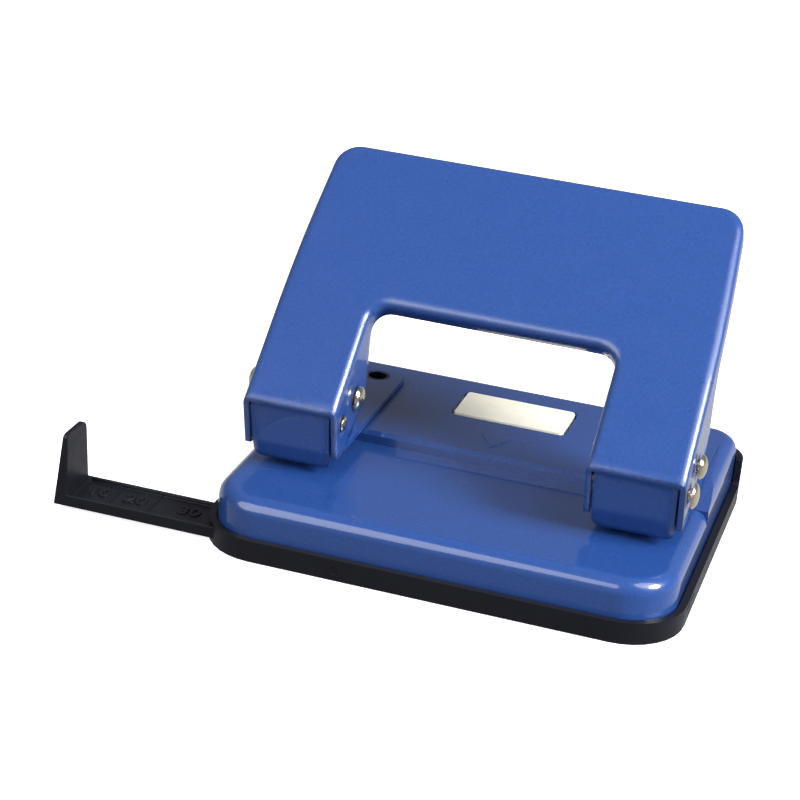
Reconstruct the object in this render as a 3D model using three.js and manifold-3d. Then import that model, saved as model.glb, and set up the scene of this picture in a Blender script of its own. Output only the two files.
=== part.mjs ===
// Two-hole desk punch: pressed steel handle and base on a black chip tray.
// Millimetres. X runs along the hole line, Y away from the user, Z up.
// The origin lies on the tray's underside, midway between its sides.

import * as THREE from 'three';
import { mergeVertices } from 'three/addons/utils/BufferGeometryUtils.js';
import Module from 'manifold-3d';

const wasm = await Module();
wasm.setup();

// Shared values
const HOLE_SPACING = 80;
const HOLE_MARGIN = 12;
const PUNCH_RADIUS = 3;
const SEAT_GAP = 0.3;
const OVERRUN = 1;
const LAP = 0.05;
const WELD = 0.01;
const QUARTER_TURN = Math.PI / 2;
const ARM_WIDTH = 22.2;
const HOLE_X = HOLE_SPACING / 2;
const SIDES = [{ name: 'left', x: -HOLE_X, out: -1 }, { name: 'right', x: HOLE_X, out: 1 }];

// Chip tray
const SIDE_MARGIN = 4.4;
const TRAY_FRONT = 45;
const TRAY_REAR = 45;
const TRAY_HEIGHT = 5.4;
const TRAY_CORNER_RADIUS = 14;
const TRAY_REAR_CORNER_RADIUS = 9;
const REAR_WALL_HEIGHT = 12;
const REAR_WALL_REACH = 8;
const REAR_WALL_RUN = 1.5;
const TRAY_WALL = 1.7;
const TRAY_FLOOR = 1.2;
const TRAY_FOOT_ROUND = 0.5;
const LEDGE_WIDTH = 3;
const LEDGE_HEIGHT = 1.2;
const LATCH_Y = -26.5;
const LATCH_LENGTH = 9;
const LATCH_HEIGHT = 0.7;
const LATCH_DROP = 0.9;
const TRAY_WIDTH = HOLE_SPACING + ARM_WIDTH + 2 * SIDE_MARGIN;
const TRAY_DEPTH = TRAY_FRONT + TRAY_REAR;

// Base plate
const SHEET = 1.2;
const PLATE_SHOULDER = 3.5;
const LOWER_DECK_Z = 14;
const THROAT_STEP = 3;
const STEP_EDGE_ROUND = 0.9;
const STEP_HALF_WIDTH = 49.6;
const RAMP_RUN = 15;
const DIE_CLEARANCE = 0.2;
const BADGE_WIDTH = 27.4;
const BADGE_DEPTH = 13.8;
const BADGE_REAR_MARGIN = 19.2;
const BADGE_CORNER = 1;
const BADGE_PROUD = 0.3;
const BADGE_LIP = 1.6;
const BADGE_LIP_HEIGHT = 1.2;
const WINDOW_GAP = 0.7;
const BADGE_Y = TRAY_REAR - BADGE_REAR_MARGIN;

// Punch brackets
const BRACKET_SHEET = 1.3;
const FOOT_THICKNESS = 1.2;
const FOOT_FRONT_Y = -20.4;
const FOOT_REAR_MARGIN = 11.6;
const FOOT_CORNER = 3;
const CHEEK_FRONT_MARGIN = 2.5;
const CHEEK_FRONT_RISE = 2.2;
const CHEEK_TOP_MARGIN = 2.8;
const CHEEK_TOP_ROUND = 3;
const CHEEK_REAR_SLOPE_Y = -1;
const RIVET_INSET = 4.5;
const RIVET_OFFSET = 3.5;
const RIVET_RADIUS = 2.7;
const RIVET_BORE = 2.3;
const RIVET_FLANGE = 0.55;
const RIVET_FLANGE_HEIGHT = 0.6;
const FOOT_REAR_Y = TRAY_REAR - FOOT_REAR_MARGIN;
const RIVET_Y = FOOT_REAR_Y - RIVET_INSET;

// Handle linkage: the drive pin swings about the pivot and pushes the punch
const PIVOT_Y = -21.5;
const PIVOT_Z = 27.1;
const DRIVE_REACH = 8.4;
const DRIVE_RISE = 3.3;
const HANDLE_TRAVEL = THREE.MathUtils.degToRad(32);
const PIVOT_PIN_RADIUS = 1.6;
const DRIVE_PIN_RADIUS = 1.5;
const DRIVE_RADIUS = Math.hypot(DRIVE_REACH, DRIVE_RISE);
const DRIVE_ANGLE = Math.atan2(DRIVE_RISE, DRIVE_REACH);
const DRIVE_Y = PIVOT_Y + DRIVE_REACH;
const DRIVE_Z = PIVOT_Z + DRIVE_RISE;
const ARC_SAG = DRIVE_RADIUS - DRIVE_REACH;
const PUNCH_Y = DRIVE_Y + ARC_SAG / 2;

// Handle
const HANDLE_SHEET = 1.2;
const HANDLE_BEND = 1.6;
const CREASE_Y = -27;
const CREASE_Z = 32.3;
const PANEL_ANGLE = THREE.MathUtils.degToRad(41.4);
const PANEL_LENGTH = 69.7;
const PANEL_TOP_NARROWING = 2.2;
const TAPER_PLACE_SHARE = 0.55;
const TAPER_RUN_SHARE = 0.255;
const PANEL_CORNER = 6;
const OPENING_HEIGHT = 28.8;
const OPENING_CORNER = 4.5;
const RIM_DEPTH = 6;
const OPENING_RIM_DEPTH = 4;
const OUTER_FLANGE_REACH = 20.5;
const INNER_FLANGE_REACH = 16.5;
const FLANGE_SWEEP = 7;
const FLANGE_FOOT_GAP = 0.4;
const FLANGE_FOOT_ANGLE = THREE.MathUtils.degToRad(1.5);
const TAB_DROP = 11.85;
const TAB_SETBACK = 2.5;
const TAB_END_DROP = 4.65;
const TAB_END_SETBACK = 2;
const TAB_SLIT = 0.5;
const TAB_END_NARROWING = 0.4;
const TAB_BEND_ROUND = 1.6;
const TAB_CORNER = 2;
const CREASE_ROUND = 1.4;
const TAB_WIDTH = ARM_WIDTH - 2 * HANDLE_SHEET - 2 * TAB_SLIT;

// Pins
const HEAD_RADIUS = 3.05;
const HEAD_DOME = 1.4;
const HEAD_STANDOFF = 1;
const TAIL_RADIUS = 1.9;
const TAIL_DOME = 0.5;
const DRIVE_HEAD_RADIUS = 2.9;
const DRIVE_HEAD_DOME = 1.6;
const DRIVE_HEAD_STANDOFF = 1.4;
const DRIVE_PIN_FLOAT = 0.8;

// Punches and springs
const PUNCH_HEAD_RADIUS = 4;
const PUNCH_HEAD_FLOOR = 0.9;
const PUNCH_HEAD_CAP = 1.4;
const PUNCH_CHAMFER = 0.5;
const PUNCH_HOLLOW_RADIUS = 5;
const PUNCH_HOLLOW_DEPTH = 1.2;
const WASHER_THICKNESS = 0.5;
const WASHER_RADIUS = 5;
const SPRING_WIRE = 0.6;
const SPRING_RADIUS = 4.2;
const SPRING_TURNS = 2.75;
const SPRING_STEPS = 8;
const SPRING_SIDES = 5;

// Paper guide
const GUIDE_WIDTH = 12;
const GUIDE_THICKNESS = 2.8;
const GUIDE_LENGTH = 106;
const GUIDE_EXTENSION = 32.5;
const GUIDE_TRAVEL = 30;
const GUIDE_FRONT_INSET = 4.6;
const GUIDE_RIM = 1;
const GUIDE_RIM_HEIGHT = 0.8;
const STOP_HEIGHT = 18;
const STOP_FOOT = 3.3;
const STOP_CREST = 1.2;
const STOP_REAR_TAPER = 2;
const STOP_CREST_ROUND = 2.4;
const STOP_RIB_DEPTH = 8;

// Places worked out from the sizes above
const STEP_Y = PUNCH_Y + HOLE_MARGIN;
const PLATE_GAP = TRAY_WALL + SEAT_GAP;
const PLATE_WIDTH = TRAY_WIDTH - 2 * PLATE_GAP;
const PLATE_DEPTH = TRAY_DEPTH - 2 * PLATE_GAP;
const PLATE_FOOT_Z = TRAY_FLOOR + LEDGE_HEIGHT + SEAT_GAP;
const DECK_Z = LOWER_DECK_Z + THROAT_STEP;
const FOOT_Z = DECK_Z + SEAT_GAP;
const FOOT_TOP_Z = FOOT_Z + FOOT_THICKNESS;
const ARM_HALF = ARM_WIDTH / 2;
const FOOT_HALF = ARM_HALF - HANDLE_SHEET;
const CHEEK_HALF = FOOT_HALF - SEAT_GAP;
const GUIDE_Z = TRAY_FLOOR + SEAT_GAP;
const GUIDE_TOP_Z = GUIDE_Z + GUIDE_THICKNESS;
const GUIDE_FRONT_Y = -TRAY_FRONT + GUIDE_FRONT_INSET;
const GUIDE_REAR_Y = GUIDE_FRONT_Y + GUIDE_WIDTH;
const STOP_X = -TRAY_WIDTH / 2 - GUIDE_EXTENSION;

// Finishes
const BLUE_PAINT = { color: 0x2f56a8, roughness: 0.3, metalness: 0.1 };
const BLACK_PLASTIC = { color: 0x1d1d22, roughness: 0.5, metalness: 0 };
const CREAM_PLASTIC = { color: 0xe6d9ba, roughness: 0.45, metalness: 0 };
const BRIGHT_STEEL = { color: 0xd8d0bc, roughness: 0.2, metalness: 1 };
const SPRING_STEEL = { color: 0x9a9a9a, roughness: 0.35, metalness: 1 };

// Solids and meshes
function solid(geometry) {
  const bare = geometry.clone();
  bare.deleteAttribute('normal');
  bare.deleteAttribute('uv');
  const merged = mergeVertices(bare, 1e-5);
  return new wasm.Manifold(new wasm.Mesh({
    numProp: 3,
    vertProperties: Float32Array.from(merged.attributes.position.array),
    triVerts: Uint32Array.from(merged.index.array),
  }));
}

function geometryOf(body) {
  const mesh = body.getMesh();
  const geometry = new THREE.BufferGeometry();
  geometry.setAttribute('position', new THREE.BufferAttribute(Float32Array.from(mesh.vertProperties), 3));
  geometry.setIndex(new THREE.BufferAttribute(Uint32Array.from(mesh.triVerts), 1));
  geometry.computeVertexNormals();
  return geometry;
}

function joined(bodies) {
  return bodies.reduce((whole, body) => whole.add(body));
}

function cut(body, tools) {
  return tools.reduce((rest, tool) => rest.subtract(tool), body);
}

const part = new THREE.Group();

function addPiece(name, geometry, finish) {
  const piece = new THREE.Mesh(geometry, new THREE.MeshStandardMaterial(finish));
  piece.name = name;
  part.add(piece);
}

// A closed outline through corners [x, y, radius], each corner rounded by its radius
function roundedOutline(corners) {
  const outline = new THREE.Shape();
  corners.forEach(([x, y, radius = 0], index) => {
    const corner = new THREE.Vector2(x, y);
    const before = new THREE.Vector2(...corners.at(index - 1)).sub(corner).normalize();
    const after = new THREE.Vector2(...corners[(index + 1) % corners.length]).sub(corner).normalize();
    const half = Math.acos(before.dot(after)) / 2;
    const start = before.clone().multiplyScalar(radius / Math.tan(half)).add(corner);
    if (index === 0) outline.moveTo(start.x, start.y);
    else outline.lineTo(start.x, start.y);
    if (radius > 0) {
      const end = after.clone().multiplyScalar(radius / Math.tan(half)).add(corner);
      const centre = before.clone().add(after).setLength(radius / Math.sin(half)).add(corner);
      const from = start.sub(centre).angle();
      const to = end.sub(centre).angle();
      outline.absarc(centre.x, centre.y, radius, from, to, before.cross(after) > 0);
    }
  });
  return outline;
}

function rectangle(width, depth, radius, centreX = 0, centreY = 0) {
  const [x, y] = [width / 2, depth / 2];
  return roundedOutline([
    [centreX - x, centreY - y, radius],
    [centreX + x, centreY - y, radius],
    [centreX + x, centreY + y, radius],
    [centreX - x, centreY + y, radius],
  ]);
}

function circle(radius, x = 0, y = 0) {
  return new THREE.Shape().absarc(x, y, radius, 0, 2 * Math.PI);
}

// Extrudes an outline from low to high along its normal, with its far edge rounded
function extrude(outline, low, high, round = 0, curveSegments = 4) {
  const bevel = round > 0 && {
    bevelEnabled: true, bevelThickness: round, bevelSize: round, bevelOffset: -round, bevelSegments: 4,
  };
  const settings = { depth: high - low - 2 * round, bevelEnabled: false, ...bevel };
  const drawn = outline.getPoints(curveSegments);
  const points = drawn.filter((point, index) => point.distanceTo(drawn.at(index - 1)) > WELD);
  return new THREE.ExtrudeGeometry(new THREE.Shape(points), settings).translate(0, 0, low + round);
}

const ALONG_X = new THREE.Matrix4().makeBasis(
  new THREE.Vector3(0, 1, 0), new THREE.Vector3(0, 0, 1), new THREE.Vector3(1, 0, 0),
);

// An outline drawn in Y and Z, extruded along X
function sideways(outline, lowX, highX, curveSegments = 4) {
  return solid(extrude(outline, lowX, highX, 0, curveSegments).applyMatrix4(ALONG_X));
}

function upright(outline, lowZ, highZ, round = 0, curveSegments = 4) {
  return solid(extrude(outline, lowZ, highZ, round, curveSegments));
}

// A block given by its opposite corners
function block(low, high) {
  const [x, y, z] = high.map((value, axis) => value - low[axis]);
  const centre = high.map((value, axis) => (value + low[axis]) / 2);
  return solid(new THREE.BoxGeometry(x, y, z).translate(...centre));
}

// Revolves [radius, height] points about a vertical line
function turned(points, x, y, segments = 24) {
  const profile = points.map(([radius, height]) => new THREE.Vector2(radius, height));
  return new THREE.LatheGeometry(profile, segments).rotateX(QUARTER_TURN).translate(x, y, 0);
}

// Revolves [radius, place] points about a line along X
function turnedAlongX(points, y, z, segments = 20) {
  const profile = points.map(([radius, place]) => new THREE.Vector2(radius, place));
  return new THREE.LatheGeometry(profile, segments).rotateZ(-QUARTER_TURN).translate(0, y, z);
}

// Points of a dome that runs from its rim to the axis
function dome(radius, base, height, direction) {
  const steps = 5;
  return Array.from({ length: steps + 1 }, (_, step) => {
    const angle = (step / steps) * QUARTER_TURN;
    return [radius * Math.cos(angle), base + direction * height * Math.sin(angle)];
  });
}

// The tray's outline, smaller by an inset all round
function trayOutline(inset) {
  const halfWidth = TRAY_WIDTH / 2 - inset;
  const frontRadius = TRAY_CORNER_RADIUS - inset;
  const rearRadius = TRAY_REAR_CORNER_RADIUS - inset;
  return roundedOutline([
    [-halfWidth, inset - TRAY_FRONT, frontRadius],
    [halfWidth, inset - TRAY_FRONT, frontRadius],
    [halfWidth, TRAY_REAR - inset, rearRadius],
    [-halfWidth, TRAY_REAR - inset, rearRadius],
  ]);
}

// Chip tray with a high rear wall, the guide's way through its left wall, a seat ledge and a guide rail
function buildTray() {
  const shell = upright(trayOutline(0), 0, REAR_WALL_HEIGHT + 2 * TRAY_FOOT_ROUND, TRAY_FOOT_ROUND);
  const rearWallY = TRAY_REAR - REAR_WALL_REACH;
  const clearZ = REAR_WALL_HEIGHT + 3 * TRAY_FOOT_ROUND;
  const above = sideways(roundedOutline([
    [-TRAY_DEPTH, TRAY_HEIGHT], [rearWallY - REAR_WALL_RUN, TRAY_HEIGHT, REAR_WALL_RUN],
    [rearWallY, REAR_WALL_HEIGHT, REAR_WALL_RUN], [TRAY_DEPTH, REAR_WALL_HEIGHT],
    [TRAY_DEPTH, clearZ], [-TRAY_DEPTH, clearZ],
  ]), -TRAY_WIDTH, TRAY_WIDTH);
  const inset = TRAY_WALL + LEDGE_WIDTH;
  const inside = upright(trayOutline(TRAY_WALL), TRAY_FLOOR + LEDGE_HEIGHT, REAR_WALL_HEIGHT + OVERRUN);
  const well = upright(trayOutline(inset), TRAY_FLOOR, TRAY_HEIGHT);
  const slotEnd = STOP_X + GUIDE_LENGTH + GUIDE_TRAVEL + SEAT_GAP;
  const slot = block([-TRAY_WIDTH, GUIDE_FRONT_Y - SEAT_GAP, TRAY_FLOOR],
    [slotEnd, GUIDE_REAR_Y + SEAT_GAP, GUIDE_TOP_Z + SEAT_GAP]);
  const latchTop = TRAY_HEIGHT - LATCH_DROP;
  const latch = block([TRAY_WIDTH / 2 - inset, LATCH_Y - LATCH_LENGTH / 2, latchTop - LATCH_HEIGHT],
    [TRAY_WIDTH, LATCH_Y + LATCH_LENGTH / 2, latchTop]);
  const railEnd = TRAY_WIDTH / 2 - inset + OVERRUN;
  const railY = GUIDE_REAR_Y + SEAT_GAP;
  const rail = block([-railEnd, railY, TRAY_FLOOR - TRAY_FOOT_ROUND],
    [railEnd, railY + TRAY_WALL, TRAY_FLOOR + LEDGE_HEIGHT - LAP]);
  return cut(shell, [above, inside, well, slot, latch]).add(rail);
}

// The pressed plate is its outer form less the same form one sheet smaller
function plateForm(inset) {
  const outline = trayOutline(PLATE_GAP + inset);
  const shoulder = PLATE_SHOULDER - inset;
  const low = PLATE_FOOT_Z - OVERRUN - inset;
  const under = low - 2 * shoulder;
  const lower = upright(outline, under, LOWER_DECK_Z - inset, shoulder);
  const raised = upright(outline, under, DECK_Z - inset, shoulder);
  const stepY = STEP_Y + inset;
  const edgeRound = Math.max(STEP_EDGE_ROUND - inset, 0);
  const behindStep = sideways(roundedOutline([
    [stepY, low], [PLATE_DEPTH, low], [PLATE_DEPTH, DECK_Z + OVERRUN],
    [stepY + edgeRound, DECK_Z + OVERRUN], [stepY + edgeRound, DECK_Z - inset],
    [stepY, DECK_Z - inset - edgeRound],
  ]), -STEP_HALF_WIDTH + inset, STEP_HALF_WIDTH - inset);
  const ramp = sideways(roundedOutline([
    [stepY, low], [PLATE_DEPTH, low], [PLATE_DEPTH, DECK_Z + OVERRUN],
    [stepY + RAMP_RUN, DECK_Z + OVERRUN], [stepY + RAMP_RUN, DECK_Z - inset, 0],
    [stepY, LOWER_DECK_Z - inset],
  ]), -PLATE_WIDTH, PLATE_WIDTH);
  return lower.add(raised.intersect(behindStep.add(ramp)));
}

function buildBasePlate() {
  const under = block([-PLATE_WIDTH, -PLATE_DEPTH, -DECK_Z], [PLATE_WIDTH, PLATE_DEPTH, PLATE_FOOT_Z]);
  const window = upright(rectangle(BADGE_WIDTH + 2 * WINDOW_GAP, BADGE_DEPTH + 2 * WINDOW_GAP,
    BADGE_CORNER + WINDOW_GAP, 0, BADGE_Y), LOWER_DECK_Z, DECK_Z + OVERRUN);
  const guideNotch = block([-PLATE_WIDTH, GUIDE_FRONT_Y - SEAT_GAP, 0],
    [PLATE_WIDTH, GUIDE_REAR_Y + SEAT_GAP, GUIDE_TOP_Z + SEAT_GAP]);
  const dies = SIDES.map((side) => upright(
    circle(PUNCH_RADIUS + DIE_CLEARANCE, side.x, PUNCH_Y), 0, DECK_Z, 0, 12));
  const rivetHoles = rivetPlaces().map(({ x }) => upright(
    circle(RIVET_RADIUS + SEAT_GAP, x, RIVET_Y), 0, DECK_Z + OVERRUN, 0, 8));
  return cut(plateForm(0), [plateForm(SHEET), under, window, guideNotch, ...dies, ...rivetHoles]);
}

function rivetPlaces() {
  return SIDES.flatMap((side) => [
    { name: `${side.name}_bracket_rivet_inner`, x: side.x - side.out * RIVET_OFFSET },
    { name: `${side.name}_bracket_rivet_outer`, x: side.x + side.out * RIVET_OFFSET },
  ]);
}

// A hollow rivet: its shank fills both holes and its flange grips under the deck
function buildRivet(x) {
  const flangeTop = DECK_Z - SHEET - SEAT_GAP;
  const flangeRadius = RIVET_RADIUS + RIVET_FLANGE;
  return turned([
    [RIVET_BORE, flangeTop - RIVET_FLANGE_HEIGHT],
    [flangeRadius, flangeTop - RIVET_FLANGE_HEIGHT],
    [flangeRadius, flangeTop],
    [RIVET_RADIUS, flangeTop],
    [RIVET_RADIUS, FOOT_TOP_Z],
    [RIVET_BORE, FOOT_TOP_Z],
    [RIVET_BORE, flangeTop - RIVET_FLANGE_HEIGHT],
  ], x, RIVET_Y, 24);
}

// A bare badge that clips up into the deck window
function buildBadge() {
  const lipTop = DECK_Z - SHEET - SEAT_GAP;
  const face = upright(rectangle(BADGE_WIDTH, BADGE_DEPTH, BADGE_CORNER, 0, BADGE_Y),
    lipTop - BADGE_LIP_HEIGHT, DECK_Z + BADGE_PROUD);
  const lip = upright(rectangle(BADGE_WIDTH + 2 * BADGE_LIP, BADGE_DEPTH + 2 * BADGE_LIP,
    BADGE_CORNER, 0, BADGE_Y), lipTop - BADGE_LIP_HEIGHT, lipTop);
  return face.add(lip);
}

// The slot that lets the drive pin swing about the pivot
function driveSlot(halfWidth) {
  const [high, low] = [DRIVE_ANGLE, DRIVE_ANGLE - HANDLE_TRAVEL];
  const place = (angle) => [
    PIVOT_Y + DRIVE_RADIUS * Math.cos(angle), PIVOT_Z + DRIVE_RADIUS * Math.sin(angle),
  ];
  const slot = new THREE.Shape();
  slot.absarc(PIVOT_Y, PIVOT_Z, DRIVE_RADIUS + halfWidth, low, high, false);
  slot.absarc(...place(high), halfWidth, high, high + Math.PI, false);
  slot.absarc(PIVOT_Y, PIVOT_Z, DRIVE_RADIUS - halfWidth, high, low, true);
  slot.absarc(...place(low), halfWidth, low + Math.PI, low + 2 * Math.PI, false);
  return slot;
}

// A U-shaped bracket: a foot plate over the throat with two cheeks that carry the pins
function buildBracket(side) {
  const foot = upright(roundedOutline([
    [side.x - FOOT_HALF, FOOT_FRONT_Y, SHEET],
    [side.x + FOOT_HALF, FOOT_FRONT_Y, SHEET],
    [side.x + FOOT_HALF, FOOT_REAR_Y, FOOT_CORNER],
    [side.x - FOOT_HALF, FOOT_REAR_Y, FOOT_CORNER],
  ]), FOOT_Z, FOOT_TOP_Z);
  const slotHalf = DRIVE_PIN_RADIUS + SEAT_GAP;
  const cheekRearY = PIVOT_Y + DRIVE_RADIUS + slotHalf + BRACKET_SHEET;
  const cheekTopZ = DRIVE_Z + slotHalf + BRACKET_SHEET;
  const cheekFrontY = PIVOT_Y - CHEEK_FRONT_MARGIN;
  const rootZ = (FOOT_Z + FOOT_TOP_Z) / 2;
  const cheekOutline = roundedOutline([
    [FOOT_FRONT_Y + SHEET, rootZ],
    [CHEEK_REAR_SLOPE_Y, rootZ],
    [CHEEK_REAR_SLOPE_Y, FOOT_TOP_Z + LAP],
    [cheekRearY, PIVOT_Z - DRIVE_RISE, CHEEK_TOP_ROUND],
    [cheekRearY, cheekTopZ, CHEEK_TOP_ROUND],
    [PIVOT_Y + CHEEK_TOP_MARGIN, cheekTopZ, CHEEK_TOP_ROUND],
    [cheekFrontY, PIVOT_Z + CHEEK_FRONT_RISE, CHEEK_FRONT_MARGIN],
    [cheekFrontY, PIVOT_Z - SHEET],
    [FOOT_FRONT_Y, FOOT_TOP_Z + SHEET],
    [FOOT_FRONT_Y + LAP, FOOT_TOP_Z - LAP],
  ]);
  const pivotHole = circle(PIVOT_PIN_RADIUS + SEAT_GAP, PIVOT_Y, PIVOT_Z);
  const cheeks = [-1, 1].map((direction) => {
    const outer = side.x + direction * CHEEK_HALF;
    const inner = outer - direction * BRACKET_SHEET;
    return sideways(cheekOutline, Math.min(outer, inner), Math.max(outer, inner));
  });
  const reach = [side.x - ARM_WIDTH, side.x + ARM_WIDTH];
  const guideHole = upright(circle(PUNCH_RADIUS + SEAT_GAP, side.x, PUNCH_Y), 0, FOOT_TOP_Z + OVERRUN, 0, 12);
  const rivetHoles = [-RIVET_OFFSET, RIVET_OFFSET].map((offset) => upright(
    circle(RIVET_RADIUS + SEAT_GAP, side.x + offset, RIVET_Y), 0, FOOT_TOP_Z + OVERRUN, 0, 8));
  return cut(joined([foot, ...cheeks]), [
    sideways(pivotHole, ...reach, 10), sideways(driveSlot(slotHalf), ...reach, 6), guideHole, ...rivetHoles,
  ]);
}

// Handle coordinates: s runs up the panel from the crease and t runs behind its outer face
function onPanel(s, t) {
  return [
    CREASE_Y + s * Math.cos(PANEL_ANGLE) + t * Math.sin(PANEL_ANGLE),
    CREASE_Z + s * Math.sin(PANEL_ANGLE) - t * Math.cos(PANEL_ANGLE),
  ];
}

const PANEL_FRAME = new THREE.Matrix4().makeBasis(
  new THREE.Vector3(1, 0, 0),
  new THREE.Vector3(0, Math.cos(PANEL_ANGLE), Math.sin(PANEL_ANGLE)),
  new THREE.Vector3(0, -Math.sin(PANEL_ANGLE), Math.cos(PANEL_ANGLE)),
).setPosition(0, CREASE_Y, CREASE_Z);

// The handle's front outline, drawn in X and s, inset by a sheet for the inside
function handleForm(inset) {
  const inner = HOLE_X - ARM_HALF + inset;
  const outer = HOLE_X + ARM_HALF - inset;
  const top = PANEL_LENGTH - inset;
  const topHalf = outer - PANEL_TOP_NARROWING;
  const taperPlace = TAPER_PLACE_SHARE * PANEL_LENGTH;
  const taperTurn = Math.atan2(PANEL_TOP_NARROWING, top - taperPlace);
  const taperRadius = TAPER_RUN_SHARE * PANEL_LENGTH / Math.tan(taperTurn / 2);
  const foot = -OPENING_HEIGHT - inset;
  const opening = OPENING_HEIGHT + inset;
  const outline = roundedOutline([
    [-outer, foot], [-inner, foot],
    [-inner, opening, OPENING_CORNER + inset],
    [inner, opening, OPENING_CORNER + inset],
    [inner, foot], [outer, foot],
    [outer, taperPlace, taperRadius],
    [topHalf, top, PANEL_CORNER - inset],
    [-topHalf, top, PANEL_CORNER - inset],
    [-outer, taperPlace, taperRadius],
  ]);
  const depth = PANEL_LENGTH + 2 * inset;
  return solid(extrude(outline, -depth, -inset, HANDLE_BEND - inset).applyMatrix4(PANEL_FRAME));
}

const TAB_BEND = [CREASE_Y + TAB_SETBACK, CREASE_Z - TAB_DROP];
const FLANGE_RADIUS = PIVOT_Z - FOOT_TOP_Z - FLANGE_FOOT_GAP;
const RIM_END = PANEL_LENGTH - HANDLE_BEND - PANEL_CORNER;

// Where a flange's upright rear edge meets its rim along the panel
function rearEdge(outline, reach, rimDepth) {
  const rearY = PIVOT_Y + reach;
  const meetS = (rearY - onPanel(0, rimDepth)[0]) / Math.cos(PANEL_ANGLE);
  const [, meetZ] = onPanel(meetS, rimDepth);
  outline.lineTo(rearY, meetZ - FLANGE_SWEEP);
  outline.quadraticCurveTo(rearY, meetZ, ...onPanel(meetS + FLANGE_SWEEP, rimDepth));
}

// The flanges' side outline: arc about the pivot, slanted foot, rear edge and rim
function flangeOutline() {
  const slant = HANDLE_TRAVEL + FLANGE_FOOT_ANGLE;
  const heelZ = PIVOT_Z + OUTER_FLANGE_REACH * Math.tan(slant) - FLANGE_RADIUS / Math.cos(slant);
  const tabNormal = Math.atan2(-TAB_SETBACK, -TAB_DROP) + 2 * Math.PI;
  const tabDistance = (CREASE_Y - PIVOT_Y) * Math.cos(tabNormal) + (CREASE_Z - PIVOT_Z) * Math.sin(tabNormal);
  const outline = new THREE.Shape();
  outline.moveTo(CREASE_Y, CREASE_Z);
  const arcStart = tabNormal + Math.acos(tabDistance / FLANGE_RADIUS);
  outline.absarc(PIVOT_Y, PIVOT_Z, FLANGE_RADIUS, arcStart, slant - QUARTER_TURN, false);
  outline.lineTo(PIVOT_Y + OUTER_FLANGE_REACH, heelZ);
  rearEdge(outline, OUTER_FLANGE_REACH, RIM_DEPTH);
  outline.lineTo(...onPanel(PANEL_LENGTH + OVERRUN, RIM_DEPTH));
  outline.lineTo(...onPanel(PANEL_LENGTH + OVERRUN, -OVERRUN));
  outline.lineTo(...onPanel(0, -OVERRUN));
  return outline;
}

// What is cut away behind the shorter flanges beside the opening
function innerFlangeCut() {
  const outline = new THREE.Shape();
  outline.moveTo(PIVOT_Y + INNER_FLANGE_REACH, FOOT_TOP_Z);
  rearEdge(outline, INNER_FLANGE_REACH, OPENING_RIM_DEPTH);
  outline.lineTo(...onPanel(RIM_END, OPENING_RIM_DEPTH));
  outline.lineTo(...onPanel(RIM_END, RIM_DEPTH + OVERRUN));
  outline.lineTo(...onPanel(RIM_END - PANEL_LENGTH, PANEL_LENGTH));
  return outline;
}

// What is cut away outside the crease to leave one round bend
function creaseCut() {
  const panelNormal = PANEL_ANGLE + QUARTER_TURN;
  const tabNormal = Math.PI + Math.atan2(TAB_SETBACK, TAB_DROP);
  const middle = (panelNormal + tabNormal) / 2;
  const reach = CREASE_ROUND / Math.cos((tabNormal - panelNormal) / 2) - LAP;
  const outline = new THREE.Shape();
  outline.moveTo(CREASE_Y + CREASE_ROUND * Math.cos(middle), CREASE_Z + CREASE_ROUND * Math.sin(middle));
  outline.absarc(CREASE_Y - reach * Math.cos(middle), CREASE_Z - reach * Math.sin(middle),
    CREASE_ROUND, panelNormal, tabNormal, false);
  return outline;
}

// The front tab of an arm: it drops from the crease and turns in again at its end
function buildTab(x) {
  const end = [TAB_BEND[0] + TAB_END_SETBACK, TAB_BEND[1] - TAB_END_DROP];
  const back = HANDLE_SHEET / Math.cos(Math.atan2(TAB_SETBACK, TAB_DROP));
  const endBack = HANDLE_SHEET / Math.cos(Math.atan2(TAB_END_SETBACK, TAB_END_DROP));
  const profile = roundedOutline([
    onPanel(HANDLE_SHEET, HANDLE_SHEET / 2),
    onPanel(2 * LAP, LAP),
    [...TAB_BEND, TAB_BEND_ROUND + HANDLE_SHEET],
    end,
    [end[0] + endBack, end[1]],
    [TAB_BEND[0] + back, TAB_BEND[1], TAB_BEND_ROUND],
    [CREASE_Y + back, CREASE_Z],
  ]);
  const half = TAB_WIDTH / 2;
  const endHalf = half - TAB_END_NARROWING / 2;
  const front = roundedOutline([
    [x - endHalf, end[1] + LAP, TAB_CORNER],
    [x + endHalf, end[1] + LAP, TAB_CORNER],
    [x + half, CREASE_Z], [x + half, CREASE_Z + PANEL_LENGTH],
    [x - half, CREASE_Z + PANEL_LENGTH], [x - half, CREASE_Z],
  ]);
  const face = extrude(front, -TRAY_DEPTH, TRAY_DEPTH).rotateX(QUARTER_TURN);
  return sideways(profile, x - ARM_HALF, x + ARM_HALF).intersect(solid(face));
}

function buildHandle() {
  const shell = handleForm(0).subtract(handleForm(HANDLE_SHEET));
  const sides = shell.intersect(sideways(flangeOutline(), -TRAY_WIDTH, TRAY_WIDTH, 8));
  const tabs = SIDES.map((side) => buildTab(side.x));
  const holes = [
    circle(PIVOT_PIN_RADIUS + SEAT_GAP, PIVOT_Y, PIVOT_Z),
    circle(DRIVE_PIN_RADIUS + SEAT_GAP, DRIVE_Y, DRIVE_Z),
  ].map((hole) => sideways(hole, -TRAY_WIDTH, TRAY_WIDTH, 10));
  return cut(joined([sides, ...tabs]), [
    sideways(innerFlangeCut(), -HOLE_X, HOLE_X, 8),
    sideways(creaseCut(), -TRAY_WIDTH, TRAY_WIDTH, 3),
    ...holes,
  ]);
}

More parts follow.
